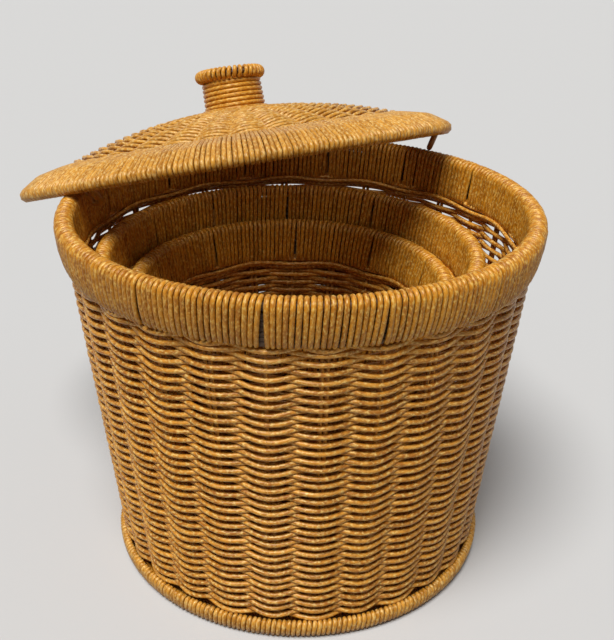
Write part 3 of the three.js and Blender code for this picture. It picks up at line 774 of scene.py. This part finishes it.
def woven_rings(radii, slopes, heights, columns, samples, reach, sides, radius, first=0.0):
    """Strands round an axis, every second one above; a ring has a radius, a height and a normal (r, z)."""
    reach = np.broadcast_to(reach, radii.shape)
    radius = np.broadcast_to(radius, radii.shape)
    count = columns * samples
    turns = first + np.arange(count) * FULL_TURN / count
    sets = []
    for side in (1, -1):
        kept = slice(0, None, 2) if side > 0 else slice(1, None, 2)
        ring, normal, height = radii[kept], slopes[kept], heights[kept]
        column = np.arange(count)[None, :] / samples + waver(turns, len(ring), 0.03)
        swing = side * np.cos(math.pi * column)
        off = reach[kept][:, None] * swing
        drift = waver(turns, len(ring), 0.12) - 0.8 * np.maximum(swing, 0)
        r = ring[:, None] + off * normal[:, 0:1] - drift * normal[:, 1:2]
        z = height[:, None] + off * normal[:, 1:2] + drift * normal[:, 0:1]
        lines = polar(r, turns[None, :], z)
        outs = polar(np.broadcast_to(normal[:, 0:1], r.shape), turns[None, :], normal[:, 1:2])
        sets.append(tube_arrays(lines, outs, radius[kept][:, None], sides, True))
    return sets


def spokes(turns, radii, heights, radius, sides):
    lines = polar(radii[None, :], turns[:, None], heights[None, :])
    outs = np.broadcast_to(np.array([0.0, 0.0, 1.0]), lines.shape)
    return tube_arrays(lines, outs, radius, sides, False)


for basket in (hamper, middle, small):
    edge = basket.foot_inside - 3.0
    rings = np.arange(edge, 14.0, -ROW_PITCH / 2)
    flat = np.tile([0.0, 1.0], (len(rings), 1))
    wide = rings > edge * 0.5
    parts = []
    for keep, columns in ((wide, 2 * basket.uprights), (~wide, basket.uprights)):
        level = np.full(keep.sum(), BASE_MIDDLE)
        parts += woven_rings(
            rings[keep], flat[keep], level, columns, 7, BOTTOM_REACH, 6, BOTTOM_STRAND, basket.first)
    at_uprights = basket.first + np.arange(basket.uprights) * FULL_TURN / basket.uprights
    ends = np.array([6.0, edge + 2.0])
    parts.append(spokes(at_uprights, ends, np.full(2, BASE_MIDDLE), 1.2, 8))
    bottom = strand_piece(f"{basket.body}_woven_bottom", parts, basket.place)
    # The bottoms' darker cane is painted shade.
    finish_piece(bottom, basket.body, "inner_strand", inner_cane_painted_shade, f"{basket.body}_base_weave")

# %% [markdown]
# ## The lid
# The lid is a shallow dome woven over spokes, with a broad edge wound over three hoops. It was made in
# its own upright frame and then leaned, so its strands are built upright too and moved by one matrix,
# whose place is read from the solids: the outer hoop's middle is the lid's origin. The knob of the real
# lid sits a few millimetres to the right of the middle, and the dome's strands follow it, so points near
# the knob are moved over by that much and points at the wound edge not at all. Near the knob the strands
# have also settled a little, more to the right of it than to the left.

# %% Place the lid
LID_LEAN = math.radians(-16.5)
LID_ROLL = math.radians(-10.2)
LID_OVERHANG = 7.2
HOOP_WRAP = 6.3
LID_HOOP = hamper.rim + hamper.roll + LID_OVERHANG - HOOP_WRAP
LID_CROWN = 52.7
LID_CURVE = 438.0
LID_EYE = 31.0
LID_SPOKES = 16
HOOP_REACH = WIRE / 2 + SEAT + STRAND / 2
hoop_low, hoop_high = (np.array(corner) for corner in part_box("lid_edge_hoop"))
lid_place = np.eye(4)
lid_place[:3, :3] = np.array(Matrix.Rotation(LID_ROLL, 3, "Y") @ Matrix.Rotation(LID_LEAN, 3, "X"))
lid_place[:3, 3] = (hoop_low + hoop_high) / 2 / MM
print("lid origin", lid_place[:3, 3].round(2))


def dome_top(r):
    return LID_CROWN - LID_CURVE + np.sqrt(LID_CURVE ** 2 - np.square(r))


def spoke_z(r):
    return dome_top(r) - WALL_HALF


def dome_normal(r):
    slope = np.arcsin(np.asarray(r) / LID_CURVE)
    return np.stack([np.sin(slope), np.cos(slope)], axis=-1)


EDGE_WIDTH = 38.0
MIDDLE_HOOP_IN = 15.0
MIDDLE_HOOP_Z = 10.4
LID_INNER = LID_HOOP - EDGE_WIDTH
KNOB_SHIFT = 6.5
KNOB_SETTLE = 1.8
KNOB_TILT = 0.025
SETTLE_MOST = 4
lid_hoops = [
    (LID_HOOP, 0.0), (LID_HOOP - MIDDLE_HOOP_IN, MIDDLE_HOOP_Z), (LID_INNER, float(spoke_z(LID_INNER))),
]


def lid_piece(name, parts):
    """A piece of the lid, its strands moved over and settled towards the knob and then put into place."""
    moved = []
    for points, *rest in parts:
        r = np.hypot(points[:, 0], points[:, 1])
        share = np.clip((LID_INNER - r) / (LID_INNER - LID_EYE), 0, 1)
        settle = -share * np.clip(KNOB_SETTLE + KNOB_TILT * points[:, 0], 0, SETTLE_MOST)
        shift = np.stack([KNOB_SHIFT * share, np.zeros_like(share), settle], axis=1)
        moved.append((points + shift, *rest))
    return strand_piece(name, moved, lid_place)

# %% [markdown]
# ## The dome
# The dome is the wall's weave again, laid on a part of a sphere. The rings lie closer and flatter towards
# the knob, because there the spokes crowd and leave the strand no room to swing. For the same reason the
# rings nearest the knob pass over and under every second spoke only.

# %% Weave the dome
HUB = 23.5
DOME_SPLIT = 78
DOME_SWING = 3.4
DOME_CLOSEST = 3.1
SPOKE_ROD = 1.5
edge = LID_INNER - 4.5
rings = [edge]
while rings[-1] > LID_EYE + 3.0:
    rings.append(rings[-1] - np.interp(rings[-1], (40, 100), (DOME_CLOSEST, ROW_PITCH / 2)))
rings = np.array(rings)
over_parts, under_parts = [], []
for keep, columns, samples in (
    (rings > DOME_SPLIT, 2 * LID_SPOKES, 8), (rings <= DOME_SPLIT, LID_SPOKES, 9),
):
    kept = rings[keep]
    reach = np.interp(kept, (40, 110), (1.0, DOME_SWING))
    height = spoke_z(kept) + DOME_SWING - reach
    thick = np.interp(kept, (40, 100), (1.6, 1.9))
    over, under = woven_rings(kept, dome_normal(kept), height, columns, samples, reach, 8, thick)
    over_parts.append(over)
    under_parts.append(under)
dome_over = lid_piece("lid_strands_over", over_parts)
dome_under = lid_piece("lid_strands_under", under_parts)
finish_piece(dome_over, "lid", "woven_strand", lid_cane, "lid_weave_top")
finish_piece(dome_under, "lid", "woven_strand", lid_cane, "lid_weave_under")
spoke_turns = np.arange(2 * LID_SPOKES) * FULL_TURN / (2 * LID_SPOKES)
spoke_radii = np.linspace(HUB, LID_INNER, 9)
spoke_rods = lid_piece(
    "lid_spokes",
    [
        spokes(spoke_turns, spoke_radii, spoke_z(spoke_radii), SPOKE_ROD, 8),
        wire_hoop(*lid_hoops[2], WIRE / 2, 8),
        wire_hoop(HUB, float(spoke_z(HUB)), WIRE / 2, 8, 48),
    ],
)
finish_piece(spoke_rods, "lid", "stake", stake_cane, "lid_frame")

# %% [markdown]
# ## The lid's wound edge
# The strand goes right round the three hoops, so the profile is a closed outline: round the outer hoop,
# over the middle one, round the inner one and back underneath. The turns crowd at the inner side, where
# the circle is shorter, so there they are pressed thinner.

# %% Wind the lid's edge
def square_to(a, b):
    return math.degrees(math.atan2(b[1] - a[1], b[0] - a[0])) - 90


below = square_to(lid_hoops[2], lid_hoops[0])
over_edge = square_to(lid_hoops[0], lid_hoops[1])
over_mid = square_to(lid_hoops[1], lid_hoops[2])


def rounded(profile, rounds, points):
    """The same outline with its corners cut twice or more, in evenly spaced points."""
    profile = np.array(profile)
    for _ in range(rounds):
        first = profile[:-1] * 0.75 + profile[1:] * 0.25
        second = profile[:-1] * 0.25 + profile[1:] * 0.75
        cut = np.stack([first, second], axis=1).reshape(-1, 2)
        profile = np.concatenate([profile[:1], cut, profile[-1:]])
    lengths = np.concatenate([[0], np.cumsum(np.linalg.norm(np.diff(profile, axis=0), axis=1))])
    even = np.linspace(0, lengths[-1], points)
    return np.stack([np.interp(even, lengths, profile[:, axis]) for axis in (0, 1)], axis=1)


edge_profile = rounded([
    *arc_points(lid_hoops[2], HOOP_REACH, below - 75, below, 3),
    *arc_points(lid_hoops[0], HOOP_REACH, below, over_edge, 9),
    *arc_points(lid_hoops[1], HOOP_REACH - 0.4, over_edge, over_mid, 1),
    *arc_points(lid_hoops[2], HOOP_REACH, over_mid, over_mid + 90, 4),
], 3, 34)
EDGE_TURNS = 296
EDGE_FILL = 0.95
edge_winding = lid_piece(
    "lid_wound_edge",
    [wound_turns(edge_profile, uneven_turns(EDGE_TURNS), FULL_TURN / EDGE_TURNS, 9, EDGE_FILL)],
)
finish_piece(edge_winding, "lid", "wound_strand", lid_cane, "lid_band_wrap")

# %% [markdown]
# ## The knob
# A plug stands on the hub ring. Strand is wound round it as a neck, and a small hoop wound with strand
# lies on top. Both windings are true spirals here, because the knob is small enough for the climb of
# each turn to show.

# %% Wind the knob
NECK_FOOT = float(dome_top(LID_EYE))
NECK_HEAD = NECK_FOOT + 26.1
NECK_SUNK = 2.0
NECK_CLIMB = NECK_HEAD - NECK_FOOT + 3.0
NECK_STRAND = 4.3
NECK_RADIUS = 29.6
NECK_TURNS = 6.8
NECK_START = 0.75
RING_RADIUS = 27.6
RING_LOOPS = 38
RING_STRAND = 3.9
RING_REACH = 4.3
RING_LIFT = 2.3
RING_Z = NECK_HEAD + SEAT + RING_REACH + RING_LIFT


def neck_winding():
    share = np.linspace(0, 1, 7 * 40 + 1)
    turn = (NECK_START + share * NECK_TURNS) * FULL_TURN
    radius = NECK_RADIUS - share - NECK_STRAND / 2
    z = NECK_FOOT - NECK_SUNK + NECK_CLIMB * share
    lines = polar(radius, turn, z)[None]
    outs = polar(np.ones_like(turn), turn, 0.0)[None]
    return tube_arrays(lines, outs, NECK_STRAND / 2, 10, False)


def ring_winding(loops, strand):
    share = np.linspace(0, 1, loops * 18 + 1)
    around = (1.5 + 2 * loops * share) * math.pi
    turn = 0.6 + share * FULL_TURN * (1 - 0.3 / loops)
    turn = turn + waver(turn, 1, 0.03, 5, 12)[0]
    radius = RING_RADIUS + RING_REACH * np.cos(around)
    lines = polar(radius, turn, RING_Z + RING_REACH * np.sin(around))[None]
    outs = polar(np.cos(around), turn, np.sin(around))[None]
    return tube_arrays(lines, outs, strand / 2, 8, False)


neck = lid_piece("knob_wound_neck", [neck_winding()])
finish_piece(neck, "lid", "wound_strand", wound_cane, "knob_neck_winding")
ring = lid_piece("knob_wound_ring", [ring_winding(RING_LOOPS, RING_STRAND)])
finish_piece(ring, "lid", "wound_strand", wound_cane, "knob_ring_winding")

# %% [markdown]
# ## The collar
# Two strands lie tight round the foot of the knob and hide where the dome's strands end. They are plain
# hoops, the outer one thinner and lower, because they are pressed down into the dome.

# %% Lay the collar round the knob's foot
collar_rings = []
for radius, thick, rise in ((30.4, 1.9, -0.6), (33.8, 1.7, -1.6)):
    collar_rings.append(wire_hoop(radius, float(dome_top(radius)) + rise, thick, 8, 64))
collar = lid_piece("lid_collar_strands", collar_rings)
finish_piece(collar, "lid", "wound_strand", wound_cane, "lid_collar")

# %% [markdown]
# ## The loops under the lid
# Three rods bent like hairpins hang under the wound edge. They keep the lid from sliding off when it is
# closed, and ajar one of them stands on the rim. A bend is a quarter of a smooth curve, so the line is
# built from straight legs and sampled curves.

# %% Bend the loops
LOOP_ROD = 5.0
LOOP_DEPTH = 16.4
LOOP_HALF_WIDTH = 6.0
LOOP_HIGH_IN = 8.0
LOOP_LOW_IN = 17.0
LOOP_BURIED = 1.5


def loop_line(turn):
    slope = math.tan(math.radians(below + 90))
    drop = (HOOP_WRAP + SEAT - LOOP_BURIED) / math.cos(math.atan(slope))
    high_z = -slope * LOOP_HIGH_IN - drop
    points = []
    for side in (-1, 1):
        high = np.array([side * LOOP_HALF_WIDTH, LOOP_HIGH_IN - LID_HOOP, high_z])
        low = np.array([side * LOOP_HALF_WIDTH, LOOP_LOW_IN - LID_HOOP, -LOOP_DEPTH])
        inward = low - np.array([side * LOOP_ROD, 0, 0])
        upward = low + unit(high - low) * LOOP_ROD
        t = np.linspace(0, 1, 9)[:, None]
        bend = (1 - t) ** 2 * upward + 2 * t * (1 - t) * low + t ** 2 * inward
        leg = np.concatenate([high[None], high[None] * 0.5 + upward[None] * 0.5, bend])
        points.append(leg if side < 0 else leg[::-1])
    points = np.concatenate(points)
    spin = np.array(Matrix.Rotation(turn, 3, "Z"))
    return points @ spin.T


for side, turn in (("right", 89), ("back", 207), ("left", -34)):
    line = loop_line(math.radians(turn))[None]
    outs = np.broadcast_to(polar(1.0, math.radians(turn), 0.6), line.shape)
    hairpin = lid_piece(f"lid_hairpin_{side}", [tube_arrays(line, outs, LOOP_ROD / 2, 12, False)])
    # The loops' darker cane is painted shade.
    finish_piece(hairpin, "lid", "loop", loop_cane_painted_shade, f"lid_loop_{side}")

# %% [markdown]
# ## The floor
# The hamper stands on a plain pale floor. Such a floor would also throw light up under every strand and
# fill the gaps of the weave. So it is pale to the rays that show it, from the camera or mirrored, and
# darker to the light that it sends back to the cane. Light Path tells these rays apart.

# %% Floor
FLOOR_SEEN = (0.58, 0.575, 0.565)
FLOOR_THROWN = (0.30, 0.29, 0.28)


def seen_rays(nodes, links):
    """A mask that is 1 for rays that show a surface: from the camera, mirrored or passed through."""
    path = nodes.new("ShaderNodeLightPath")
    shown = path.outputs["Is Camera Ray"]
    for label in ("Is Glossy Ray", "Is Transmission Ray"):
        either = nodes.new("ShaderNodeMath")
        either.operation = "MAXIMUM"
        links.new(shown, either.inputs[0])
        links.new(path.outputs[label], either.inputs[1])
        shown = either.outputs["Value"]
    return shown


def floor_finish(name, seen, thrown):
    """Pale where it is seen, darker where it lights other things."""
    material = bpy.data.materials.new(name)
    material.use_nodes = True
    nodes, links = material.node_tree.nodes, material.node_tree.links
    shown = nodes["Principled BSDF"]
    shown.inputs["Base Color"].default_value = (*seen, 1)
    shown.inputs["Roughness"].default_value = 0.8
    dim = nodes.new("ShaderNodeBsdfDiffuse")
    dim.inputs["Color"].default_value = (*thrown, 1)
    choice = nodes.new("ShaderNodeMixShader")
    links.new(seen_rays(nodes, links), choice.inputs["Fac"])
    links.new(dim.outputs["BSDF"], choice.inputs[1])
    links.new(shown.outputs["BSDF"], choice.inputs[2])
    links.new(choice.outputs["Shader"], nodes["Material Output"].inputs["Surface"])
    return material


bpy.ops.mesh.primitive_plane_add(size=40, location=(0, 0, -0.0005))
floor = bpy.context.object
floor.name = "floor"
floor.data.materials.append(floor_finish("pale floor", FLOOR_SEEN, FLOOR_THROWN))
print("floor", floor.name, "with", floor.active_material.name)

# %% [markdown]
# ## The light
# One broad, high lamp in front and to the left lights the lid and the rims and leaves the insides dark, as
# daylight from above does. A dim room fills the rest. Its backdrop looks about as pale as the floor, and
# that look, too, is only for the rays that show it.

# %% Light
DAYLIGHT_FROM = (-0.35, -0.85, 2.3)
DAYLIGHT_TO = (0, 0, 0.2)
ROOM_FILL = 0.14
ROOM_COLOUR = (0.98, 0.98, 1.0, 1)
BACKDROP = (0.66, 0.66, 0.65, 1)


def aim(lamp, place, target):
    back = unit(np.array(place) - np.array(target))
    right = unit(np.cross([0, 0, 1], back))
    up = np.cross(back, right)
    lamp.location = place
    lamp.rotation_euler = Matrix(np.stack([right, up, back], axis=1).tolist()).to_euler()


daylight = bpy.data.lights.new("daylight", "SUN")
daylight.energy = 3.55
daylight.angle = math.radians(29)
lamp = bpy.data.objects.new("daylight", daylight)
aim(lamp, DAYLIGHT_FROM, DAYLIGHT_TO)
bpy.context.scene.collection.objects.link(lamp)
world = bpy.data.worlds.new("pale room")
world.use_nodes = True
room, room_links = world.node_tree.nodes, world.node_tree.links
room["Background"].inputs["Color"].default_value = ROOM_COLOUR
room["Background"].inputs["Strength"].default_value = ROOM_FILL
backdrop = room.new("ShaderNodeBackground")
backdrop.inputs["Color"].default_value = BACKDROP
choice = room.new("ShaderNodeMixShader")
room_links.new(seen_rays(room, room_links), choice.inputs["Fac"])
room_links.new(room["Background"].outputs["Background"], choice.inputs[1])
room_links.new(backdrop.outputs["Background"], choice.inputs[2])
room_links.new(choice.outputs["Shader"], room["World Output"].inputs["Surface"])
bpy.context.scene.world = world
bpy.context.scene.view_settings.view_transform = "Standard"
print("daylight", daylight.energy, "from", DAYLIGHT_FROM, "room", ROOM_FILL)

# %% [markdown]
# ## The camera
# The camera stands where the picture was taken from, about a metre away and looking down on the rim. Its
# place and its three angles were fitted to the rims and the foot, together with the focal length, which
# is written in pixels of a picture of the photograph's width and turned into millimetres of lens.

# %% Camera
PHOTO_WIDTH = 614
FOCAL_PIXELS = 1000
SENSOR = 36.0
CAMERA_PLACE = (0, -0.7920, 0.5935)
pitch, yaw, roll = 0.4513, 0.0075, 0.0129
forward = np.array([math.sin(yaw) * math.cos(pitch), math.cos(yaw) * math.cos(pitch), -math.sin(pitch)])
level = np.array([math.cos(yaw), -math.sin(yaw), 0.0])
upward = np.cross(level, forward)
right = math.cos(roll) * level + math.sin(roll) * upward
up = -math.sin(roll) * level + math.cos(roll) * upward
camera_data = bpy.data.cameras.new("camera")
camera_data.sensor_fit = "HORIZONTAL"
camera_data.sensor_width = SENSOR
camera_data.lens = SENSOR * FOCAL_PIXELS / PHOTO_WIDTH
camera = bpy.data.objects.new("camera", camera_data)
facing = Matrix(np.stack([right, up, -forward], axis=1).tolist()).to_4x4()
camera.matrix_world = Matrix.Translation(CAMERA_PLACE) @ facing
bpy.context.scene.collection.objects.link(camera)
bpy.context.scene.camera = camera
print("camera at", CAMERA_PLACE, "with a lens of", round(camera_data.lens, 2), "mm")
